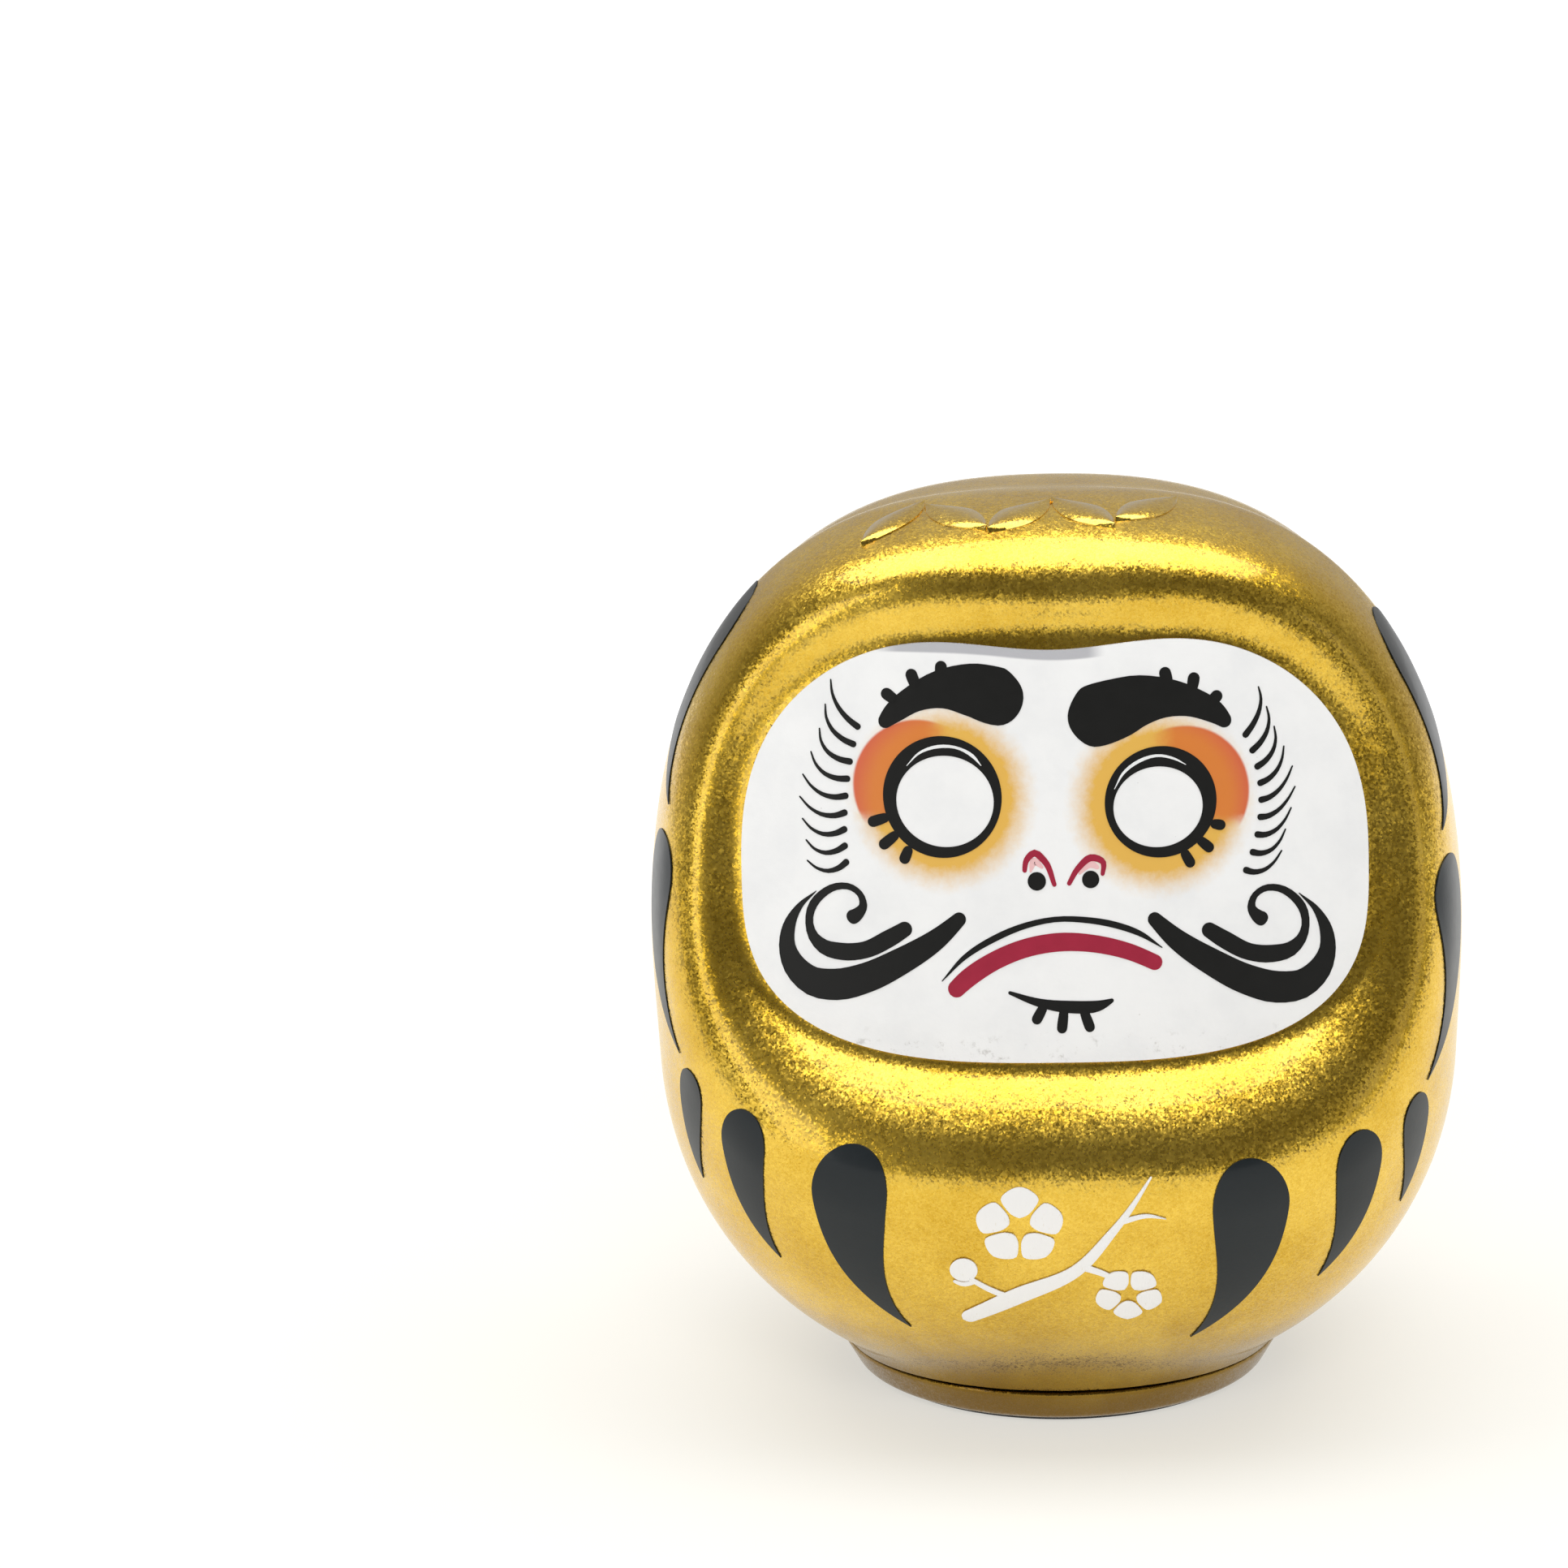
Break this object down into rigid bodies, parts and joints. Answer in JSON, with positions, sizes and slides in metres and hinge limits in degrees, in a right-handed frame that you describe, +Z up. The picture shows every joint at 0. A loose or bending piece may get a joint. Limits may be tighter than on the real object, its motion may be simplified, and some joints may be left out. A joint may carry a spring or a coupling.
{
  "type": "daruma doll",
  "caption": "Hollow rounded doll with a sunken painted face, flame transfers on its sides and a weighted foot, that stands on a flat base.",
  "frame": {"origin": "centre of the underside of the base cover, where the doll stands", "axes": "+Z up from the base to the crown, -Y the way the face looks, +X to the right of someone who looks at the face"},
  "size_m": [0.079, 0.075, 0.0901],
  "materials": {
    "gold_shell": "metal-flake gold lacquer under clear gloss",
    "felt_cover": "black felt",
    "white_label": "coated white paper, printed, lightly glossy",
    "black_film": "printed transfer film, satin",
    "white_paint": "white paint, brushed on",
    "clear_varnish": "raised clear varnish over the gold"
  },
  "bodies": {
    "root": {"front_shell": "gold_shell", "back_shell": "gold_shell", "foot_weight": "gold_shell", "base_cover": "felt_cover", "face_label": "white_label", "flame_lower_front_left": "black_film", "flame_lower_middle_left": "black_film", "flame_lower_back_left": "black_film", "flame_side_middle_left": "black_film", "flame_side_upper_left": "black_film", "flame_lower_front_right": "black_film", "flame_lower_middle_right": "black_film", "flame_lower_back_right": "black_film", "flame_side_middle_right": "black_film", "flame_side_upper_right": "black_film", "belly_branch": "white_paint", "belly_bud": "white_paint", "belly_blossom_large": "white_paint", "belly_blossom_small": "white_paint", "crown_leaf_1": "clear_varnish", "crown_leaf_2": "clear_varnish", "crown_leaf_3": "clear_varnish", "crown_leaf_4": "clear_varnish", "crown_leaf_5": "clear_varnish"}
  },
  "joints": []
}
